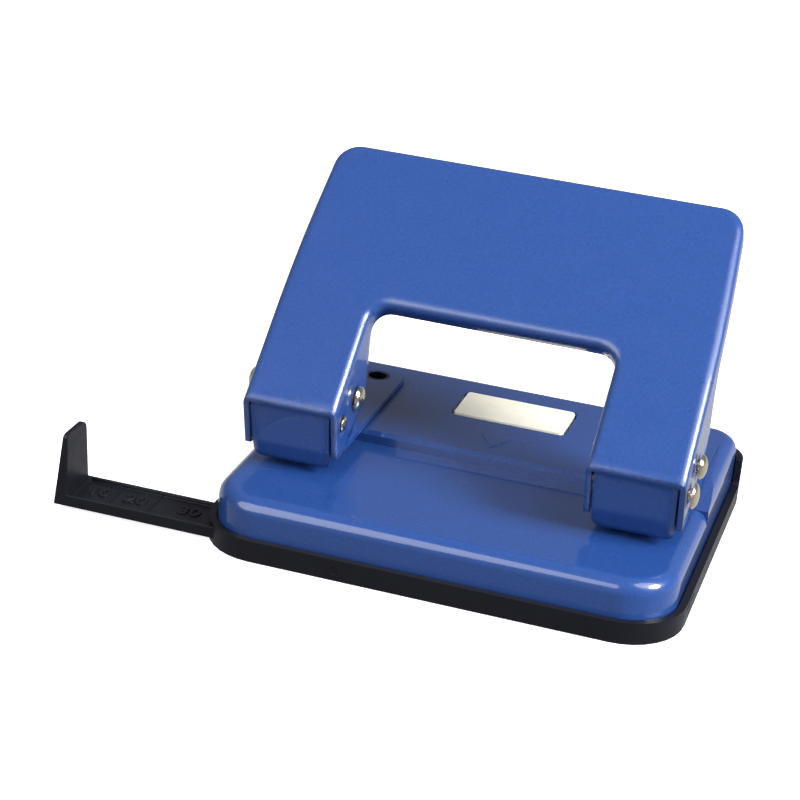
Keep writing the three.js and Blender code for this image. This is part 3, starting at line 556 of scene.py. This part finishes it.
class PUNCH_OT_marks(bpy.types.Operator):
    """Presses the centre mark into the deck and moulds the guide's cross lines and numbers"""

    bl_idname = "punch.marks"
    bl_label = "Marks"

    def execute(self, context):
        marks = context.scene.punch_marks
        self.add_centre_mark(marks)
        self.add_gate_mark(marks)
        low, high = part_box("paper_guide")
        middle = (low.y + high.y) / 2
        width = high.y - low.y - GUIDE_WALLS
        floor = low.z + GUIDE_FLOOR
        ribs = self.add_ribs(marks, width)
        for number, x in GUIDE_NUMBERS:
            self.add_number(marks, number, (x, middle, floor))
        for index, (rib, x) in enumerate(zip(ribs, GUIDE_LINES)):
            rib.location = (x, middle, floor)
            choose(rib)
            bpy.ops.object.transform_apply(location=True, rotation=True, scale=True)
            finished(rib, f"guide_line_{index + 1}", "tray_plastic", "black_plastic", "guide")
        return {"FINISHED"}

    def add_centre_mark(self, marks):
        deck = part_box("base_plate")[1].z
        deselect()
        bpy.ops.mesh.primitive_circle_add(vertices=MARK_CORNERS, radius=marks.mark_size, fill_type="NGON",
                                          location=(0, 0, 0), rotation=(0, 0, math.pi))
        piece = bpy.context.object
        bpy.ops.object.mode_set(mode="EDIT")
        bpy.ops.mesh.select_all(action="SELECT")
        bpy.ops.mesh.extrude_region_move(TRANSFORM_OT_translate={"value": (0, 0, 2 * marks.height)})
        bpy.ops.transform.resize(value=(MARK_TOP_SHARE, MARK_TOP_SHARE, 1.0))
        bpy.ops.mesh.select_all(action="SELECT")
        bpy.ops.mesh.normals_make_consistent(inside=False)
        bpy.ops.object.mode_set(mode="OBJECT")
        piece.location = (0, marks.mark_place, deck - marks.height)
        bpy.ops.object.transform_apply(location=True, rotation=True, scale=True)
        rounded_off(piece, marks.height)
        finished(piece, "centre_mark", "enamel", "blue_paint", "base")

    def add_gate_mark(self, marks):
        """The small ring that the mould's gate leaves on the tray's front"""
        deselect()
        radius = marks.gate_size / 2
        bpy.ops.mesh.primitive_cylinder_add(vertices=GATE_SIDES, radius=radius, depth=marks.height,
                                            location=(0, 0, 0), rotation=(0, 0, 0))
        piece = bpy.context.object
        bpy.ops.object.mode_set(mode="EDIT")
        bpy.ops.mesh.select_mode(type="FACE")
        bpy.ops.mesh.select_all(action="SELECT")
        bpy.ops.mesh.inset(thickness=marks.gate_size * GATE_RIM_SHARE, use_individual=True)
        bpy.ops.object.mode_set(mode="OBJECT")
        for face in piece.data.polygons:
            inner_disc = len(face.vertices) == GATE_SIDES and face.center.length < radius
            face.select = inner_disc and face.normal.z > 0.9
        bpy.ops.object.mode_set(mode="EDIT")
        bpy.ops.transform.translate(value=(0, 0, -marks.height * GATE_SINK_SHARE))
        bpy.ops.object.mode_set(mode="OBJECT")
        piece.rotation_euler = (math.pi / 2, 0, 0)
        piece.location = (marks.gate_place[0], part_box("base_tray")[0].y, marks.gate_place[1])
        bpy.ops.object.transform_apply(location=True, rotation=True, scale=True)
        shade(piece, bpy.context.scene.punch_edges.smooth_angle)
        finished(piece, "gate_mark", "tray_plastic", "black_plastic", "base")

    def add_ribs(self, marks, width):
        """One rib for each cross line: one is modelled and the others are its copies"""
        deselect()
        bpy.ops.mesh.primitive_cube_add(size=1.0, location=(0, 0, 0))
        piece = bpy.context.object
        piece.scale = (marks.rib_width, width, 2 * marks.height)
        bpy.ops.object.transform_apply(location=False, rotation=False, scale=True)
        bpy.ops.object.mode_set(mode="EDIT")
        bpy.ops.mesh.select_all(action="SELECT")
        bpy.ops.mesh.bevel(offset=marks.rib_width * RIB_EDGE_SHARE, segments=EDGE_SEGMENTS)
        bpy.ops.object.mode_set(mode="OBJECT")
        shade(piece, bpy.context.scene.punch_edges.smooth_angle)
        ribs = [piece]
        for _ in GUIDE_LINES[1:]:
            rib = piece.copy()
            rib.data = piece.data.copy()
            bpy.context.scene.collection.objects.link(rib)
            ribs.append(rib)
        return ribs

    def add_number(self, marks, number, place):
        deselect()
        bpy.ops.object.text_add(location=(0, 0, 0))
        piece = bpy.context.object
        piece.data.body = number
        piece.data.size = marks.digit_size
        piece.data.align_x = "CENTER"
        piece.data.align_y = "CENTER"
        piece.data.extrude = marks.height * DIGIT_LIFT_SHARE
        piece.data.bevel_depth = marks.height * DIGIT_EDGE_SHARE
        bpy.ops.object.convert(target="MESH")
        piece = bpy.context.object
        piece.location = place
        bpy.ops.object.transform_apply(location=True, rotation=True, scale=True)
        finished(piece, "guide_number_" + number, "tray_plastic", "black_plastic", "guide")


# Stage


def soft_light(name, place, aim, size, power):
    bpy.ops.object.light_add(type="AREA", location=place)
    light = bpy.context.object
    light.name = name
    light.data.shape = "DISK"
    light.data.size = size
    light.data.energy = power
    light.rotation_euler = (Vector(aim) - Vector(place)).to_track_quat("-Z", "Y").to_euler()


class PUNCH_OT_stage(bpy.types.Operator):
    """Sets up the floor, the soft lights and the camera"""

    bl_idname = "punch.stage"
    bl_label = "Stage"

    def execute(self, context):
        stage = context.scene.punch_stage
        deselect()
        bpy.ops.mesh.primitive_plane_add(size=stage.floor_size, location=(0, 0, 0))
        floor = context.object
        floor.name = "floor"
        surface = Finish("floor_paper")
        surface.colour(surface.noise(scale=3.0), *FLOOR_SHADES)
        surface.shader.inputs["Roughness"].default_value = 0.9
        surface.shader.inputs["Emission Color"].default_value = WHITE
        surface.shader.inputs["Emission Strength"].default_value = stage.table_glow
        floor.data.materials.append(surface.material)
        floor.visible_diffuse = floor.visible_glossy = False
        world = bpy.data.worlds.new("studio")
        world.use_nodes = True
        self.grade(world.node_tree, stage)
        context.scene.world = world
        for name, (place, aim, size, power) in LIGHTS.items():
            soft_light(name, place, aim, size, getattr(stage, power))
        self.add_camera(context, stage)
        return {"FINISHED"}

    def grade(self, tree, stage):
        """An even white light that is brightest off the table behind the punch and from above"""
        direction = tree.nodes.new("ShaderNodeTexCoord").outputs["Generated"]
        split = tree.nodes.new("ShaderNodeSeparateXYZ")
        tree.links.new(direction, split.inputs["Vector"])
        table = self.ramp(tree, split.outputs["Y"], FRONT_TO_BACK, stage.in_front, stage.behind)
        walls = self.blend(tree, self.ramp(tree, split.outputs["Z"], TABLE_TO_WALLS), stage.around)
        above = self.blend(tree, self.ramp(tree, split.outputs["Z"], WALLS_TO_ABOVE), stage.overhead)
        background = tree.nodes["Background"]
        background.inputs["Color"].default_value = WHITE
        tree.links.new(table, walls.inputs["A"])
        tree.links.new(walls.outputs["Result"], above.inputs["A"])
        tree.links.new(above.outputs["Result"], background.inputs["Strength"])

    def blend(self, tree, factor, level):
        blend = tree.nodes.new("ShaderNodeMix")
        blend.inputs["B"].default_value = level
        tree.links.new(factor, blend.inputs["Factor"])
        return blend

    def ramp(self, tree, value, span, low=0.0, high=1.0):
        ramp = tree.nodes.new("ShaderNodeMapRange")
        ramp.inputs["From Min"].default_value, ramp.inputs["From Max"].default_value = span
        ramp.inputs["To Min"].default_value = low
        ramp.inputs["To Max"].default_value = high
        tree.links.new(value, ramp.inputs["Value"])
        return ramp.outputs["Result"]

    def add_camera(self, context, stage):
        azimuth, elevation, roll = stage.azimuth, stage.elevation, stage.roll
        across = Vector((math.cos(azimuth), math.sin(azimuth), 0.0))
        back = Vector((math.sin(azimuth) * math.cos(elevation),
                       -math.cos(azimuth) * math.cos(elevation), math.sin(elevation)))
        above = back.cross(across)
        right = across * math.cos(roll) + above * math.sin(roll)
        up = above * math.cos(roll) - across * math.sin(roll)
        bpy.ops.object.camera_add(location=stage.place)
        camera = context.object
        camera.name = "camera"
        turn = Matrix((right, up, back)).transposed().to_4x4()
        camera.matrix_world = Matrix.Translation(stage.place) @ turn
        camera.data.sensor_width = SENSOR_WIDTH
        camera.data.lens = stage.focal_length
        camera.data.shift_x, camera.data.shift_y = stage.shift
        camera.data.clip_start = NEAREST_VIEW
        context.scene.camera = camera
        context.scene.view_settings.view_transform = "Standard"


# Panel and registration


class PUNCH_PT_panel(bpy.types.Panel):
    """The punch's pieces and settings"""

    bl_idname = "PUNCH_PT_panel"
    bl_label = "Two-Hole Punch"
    bl_space_type = "VIEW_3D"
    bl_region_type = "UI"
    bl_category = "Punch"

    def draw(self, context):
        for group_name in GROUPS:
            group = getattr(context.scene, group_name)
            box = self.layout.box()
            for name in group.bl_rna.properties.keys():
                if name not in {"rna_type", "name"}:
                    box.prop(group, name)
        for operator in OPERATORS:
            self.layout.operator(operator.bl_idname)


GROUPS = {
    "punch_finishes": PunchFinishes,
    "punch_edges": PunchEdges,
    "punch_springs": PunchSprings,
    "punch_marks": PunchMarks,
    "punch_stage": PunchStage,
}
OPERATORS = (
    PUNCH_OT_sheet_steel, PUNCH_OT_mouldings, PUNCH_OT_turned_parts, PUNCH_OT_springs, PUNCH_OT_marks,
    PUNCH_OT_stage,
)
CLASSES = (*GROUPS.values(), *OPERATORS, PUNCH_PT_panel)


def register():
    for cls in CLASSES:
        bpy.utils.register_class(cls)
    for name, group in GROUPS.items():
        setattr(bpy.types.Scene, name, PointerProperty(type=group))


def unregister():
    for name in GROUPS:
        delattr(bpy.types.Scene, name)
    for cls in reversed(CLASSES):
        bpy.utils.unregister_class(cls)


def main():
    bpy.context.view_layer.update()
    register()
    bpy.ops.punch.sheet_steel()
    bpy.ops.punch.mouldings()
    bpy.ops.punch.turned_parts()
    bpy.ops.punch.springs()
    bpy.ops.punch.marks()
    bpy.ops.punch.stage()


if __name__ == "__main__":
    main()
